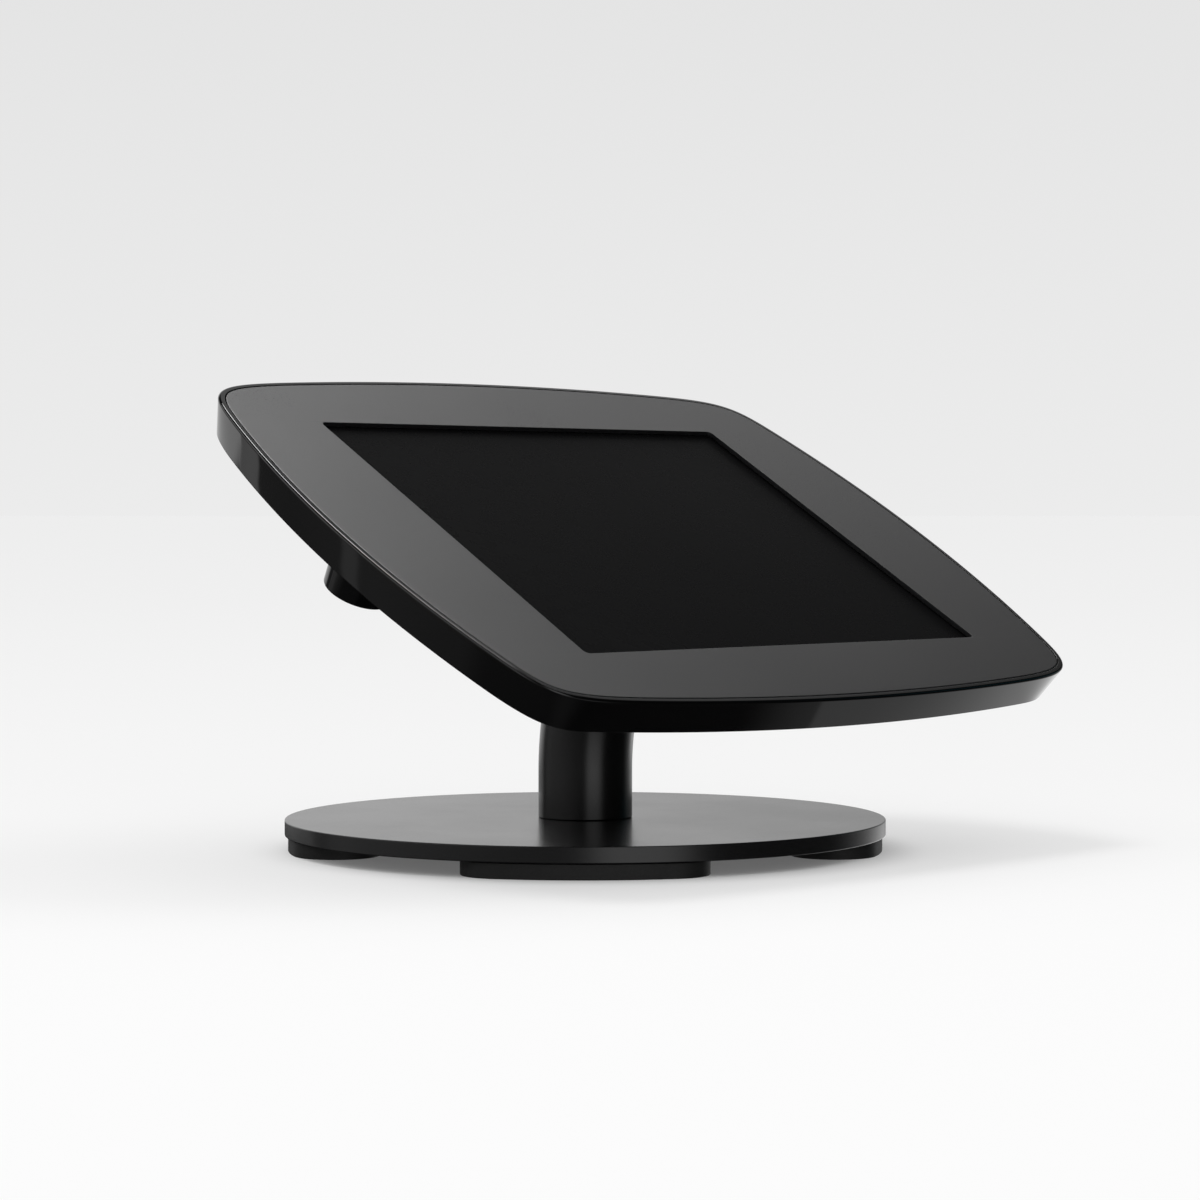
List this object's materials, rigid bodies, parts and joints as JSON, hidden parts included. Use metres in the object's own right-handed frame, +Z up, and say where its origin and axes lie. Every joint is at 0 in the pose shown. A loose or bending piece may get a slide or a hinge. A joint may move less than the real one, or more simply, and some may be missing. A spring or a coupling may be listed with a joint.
{
  "type": "tablet payment terminal",
  "caption": "Counter-top tablet terminal: slim rounded enclosure with framed screen, tilted on a bent tubular arm over a round base plate with rubber pads, and a lock under one side.",
  "frame": {"origin": "on the counter surface, at the middle of the object's footprint box; the arm and the base plate's centre stand 10.4 mm behind it", "axes": "+X along the enclosure's long side, to the right as the user faces the screen; +Y away from the user; +Z up"},
  "size_m": [0.311, 0.251, 0.1796],
  "materials": {
    "powder_coat_black": "fine satin powder coat",
    "gloss_black": "polished piano black",
    "satin_panel_black": "smooth satin coat",
    "rubber_black": "matt moulded rubber",
    "zinc_steel": "bright zinc plate",
    "acetal_natural": "natural acetal",
    "lock_chrome": "satin chrome plate",
    "bumper_rubber": "matt closed-cell rubber",
    "tablet_aluminium": "bead-blasted and anodised",
    "screen_glass": "polished black cover glass",
    "display_black": "dark panel",
    "battery_pouch": "wrapped cell",
    "circuit_board": "solder mask"
  },
  "bodies": {
    "stand": {"base_plate": "powder_coat_black", "foot_pad_back_right": "rubber_black", "foot_pad_back_left": "rubber_black", "foot_pad_front_left": "rubber_black", "foot_pad_front_right": "rubber_black", "cable_grommet": "rubber_black", "base_screw_1": "zinc_steel", "base_screw_2": "zinc_steel", "base_screw_3": "zinc_steel", "base_screw_4": "zinc_steel", "arm_tube": "powder_coat_black", "arm_foot_plug": "zinc_steel", "arm_head_flange": "powder_coat_black", "hub_friction_washer": "acetal_natural", "hub_bush": "acetal_natural", "hub_wave_washer": "zinc_steel", "hub_retainer": "zinc_steel", "hub_screw_1": "zinc_steel", "hub_screw_2": "zinc_steel", "hub_screw_3": "zinc_steel", "hub_screw_4": "zinc_steel"},
    "enclosure": {"enclosure_body": "gloss_black", "snap_socket_1": "acetal_natural", "snap_socket_2": "acetal_natural", "snap_socket_3": "acetal_natural", "snap_socket_4": "acetal_natural", "lock_barrel": "lock_chrome", "lock_nut": "zinc_steel", "corner_bumper_top_right": "bumper_rubber", "corner_bumper_top_left": "bumper_rubber", "corner_bumper_bottom_left": "bumper_rubber", "corner_bumper_bottom_right": "bumper_rubber", "tablet_back_shell": "tablet_aluminium", "tablet_glass": "screen_glass", "tablet_display": "display_black", "tablet_battery_left": "battery_pouch", "tablet_battery_right": "battery_pouch", "tablet_logic_board": "circuit_board"},
    "faceplate_panel": {"faceplate": "satin_panel_black", "faceplate_stud_1": "acetal_natural", "faceplate_stud_2": "acetal_natural", "faceplate_stud_3": "acetal_natural", "faceplate_stud_4": "acetal_natural", "latch_keeper": "zinc_steel"},
    "lock_core": {"lock_plug": "lock_chrome", "lock_cam": "zinc_steel", "lock_cam_screw": "zinc_steel"},
    "power_button": {"tablet_power_button": "tablet_aluminium"},
    "volume_up_button": {"tablet_volume_up_button": "tablet_aluminium"},
    "volume_down_button": {"tablet_volume_down_button": "tablet_aluminium"}
  },
  "joints": [
    {"name": "enclosure_rotate", "type": "hinge", "parent": "stand", "child": "enclosure", "pos_m": [0, -0.0162, 0.1043], "axis": [0, -0.5058, 0.8626], "range_deg": [0, 90]},
    {"name": "faceplate_lift", "type": "slide", "parent": "enclosure", "child": "faceplate_panel", "axis": [0, -0.5058, 0.8626], "range_m": [0, 0.05]},
    {"name": "lock_turn", "type": "hinge", "parent": "enclosure", "child": "lock_core", "pos_m": [-0.1375, -0.0162, 0.1043], "axis": [0, 0.5058, -0.8626], "range_deg": [0, 90]},
    {"name": "power_button_press", "type": "slide", "parent": "enclosure", "child": "power_button", "axis": [1, 0, 0], "range_m": [0, 0.0003], "stiffness_N_per_m": 1500, "springref_m": -0.0005},
    {"name": "volume_up_press", "type": "slide", "parent": "enclosure", "child": "volume_up_button", "axis": [0, -0.8626, -0.5058], "range_m": [0, 0.0003], "stiffness_N_per_m": 1500, "springref_m": -0.0005},
    {"name": "volume_down_press", "type": "slide", "parent": "enclosure", "child": "volume_down_button", "axis": [0, -0.8626, -0.5058], "range_m": [0, 0.0003], "stiffness_N_per_m": 1500, "springref_m": -0.0005}
  ]
}
